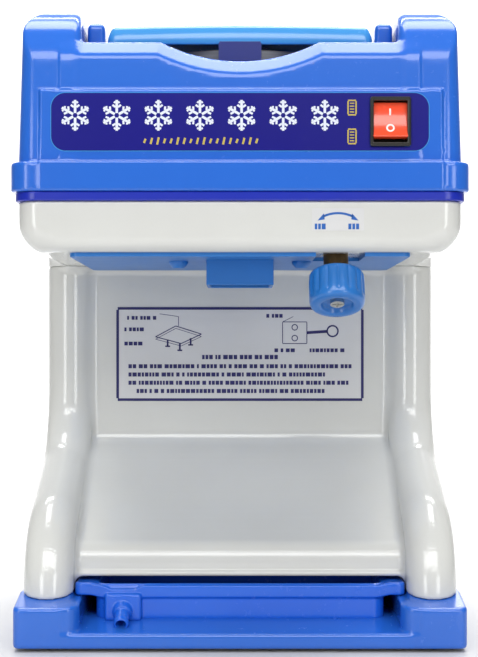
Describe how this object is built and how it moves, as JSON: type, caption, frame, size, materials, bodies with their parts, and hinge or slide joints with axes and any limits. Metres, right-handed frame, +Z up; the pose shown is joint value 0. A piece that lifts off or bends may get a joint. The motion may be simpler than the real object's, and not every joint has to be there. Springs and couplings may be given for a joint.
{
  "type": "shaved ice machine",
  "caption": "Bench-top electric ice shaver: lidded ice drum over a fixed blade, outlet and adjusting knob above a bowl recess, and a slide-out drip tray.",
  "frame": {"origin": "centre of the footprint, at the level that the rubber feet stand on", "axes": "+Z up, the front faces -Y, +X is to the right of someone facing the front"},
  "size_m": [0.29, 0.3, 0.411],
  "materials": {
    "blue_plastic": "injection-moulded, semi-gloss",
    "white_plastic": "injection-moulded, gloss",
    "dark_blue_plastic": "satin seal",
    "navy_film": "printed film, gloss",
    "navy_plastic": "moulded, gloss",
    "gold_film": "metallic print",
    "black_plastic": "moulded, satin",
    "orange_plastic": "translucent moulded, gloss",
    "knob_blue": "moulded, satin",
    "tray_blue": "moulded, semi-gloss",
    "grey_plastic": "moulded case",
    "label_grey": "printed vinyl",
    "black_rubber": "moulded",
    "stainless_steel": "brushed",
    "plated_steel": "zinc plated",
    "cast_aluminium": "as cast, turned faces",
    "motor_paint": "black enamel",
    "bronze": "turned"
  },
  "bodies": {
    "housing": {"base": "blue_plastic", "base_plate": "plated_steel", "rubber_feet": "black_rubber", "base_screws": "plated_steel", "body_shell": "white_plastic", "rear_cover": "white_plastic", "rear_screws": "plated_steel", "head_shell": "white_plastic", "head_seal": "dark_blue_plastic", "top_cover": "blue_plastic", "name_panel": "navy_film", "gold_marks": "gold_film", "switch_body": "black_plastic", "hinge_pins": "plated_steel", "drum": "stainless_steel", "drum_spacers": "plated_steel", "drum_screws": "plated_steel", "bearings": "plated_steel", "belt": "black_rubber", "motor": "motor_paint", "motor_bracket": "plated_steel", "motor_bolts": "plated_steel", "capacitor": "grey_plastic", "capacitor_clip": "plated_steel", "outlet_plate": "blue_plastic", "plate_bolts": "plated_steel", "outlet_chute": "blue_plastic", "screw_bush": "bronze", "cord_gland": "black_rubber", "instruction_plate": "label_grey", "arrow_label": "label_grey"},
    "lid": {"lid": "blue_plastic", "lid_tab": "navy_plastic"},
    "rocker": {"switch_rocker": "orange_plastic"},
    "rotor": {"rotor": "stainless_steel", "rotor_shaft": "stainless_steel", "rotor_nut": "stainless_steel", "driven_pulley": "cast_aluminium"},
    "motor_rotor": {"motor_shaft": "plated_steel", "motor_armature": "plated_steel", "motor_pulley": "cast_aluminium"},
    "knob": {"adjusting_knob": "knob_blue", "adjusting_screw": "plated_steel", "knob_screw": "plated_steel"},
    "blade_carrier": {"blade_holder": "cast_aluminium", "blade": "stainless_steel", "blade_bolts": "plated_steel"},
    "tray": {"drip_tray": "tray_blue"}
  },
  "joints": [
    {"name": "lid_hinge", "type": "hinge", "parent": "housing", "child": "lid", "pos_m": [0, 0.112, 0.3964], "axis": [-1, 0, 0], "range_deg": [0, 95]},
    {"name": "rocker_tip", "type": "hinge", "parent": "housing", "child": "rocker", "pos_m": [0.094, -0.14, 0.335], "axis": [1, 0, 0], "range_deg": [0, 24]},
    {"name": "rotor_spin", "type": "hinge", "parent": "housing", "child": "rotor", "pos_m": [0, -0.019, 0.3], "axis": [0, 0, 1], "continuous": true},
    {"name": "motor_spin", "type": "hinge", "parent": "housing", "child": "motor_rotor", "pos_m": [0, 0.082, 0.265], "axis": [0, 0, 1], "continuous": true},
    {"name": "knob_turn", "type": "hinge", "parent": "housing", "child": "knob", "pos_m": [0.062, -0.13, 0.22], "axis": [0, 0.4226, 0.9063], "range_deg": [-180, 180]},
    {"name": "blade_lift", "type": "slide", "parent": "housing", "child": "blade_carrier", "axis": [0, 0.4226, 0.9063], "range_m": [-0.00062, 0.00062]},
    {"name": "tray_slide", "type": "slide", "parent": "housing", "child": "tray", "axis": [0, -1, 0], "range_m": [0, 0.09]}
  ],
  "couplings": [
    {"joint": "motor_spin", "follows": "rotor_spin", "ratio": 3},
    {"joint": "knob_turn", "follows": "blade_lift", "rad_per_m": 5026.5}
  ]
}
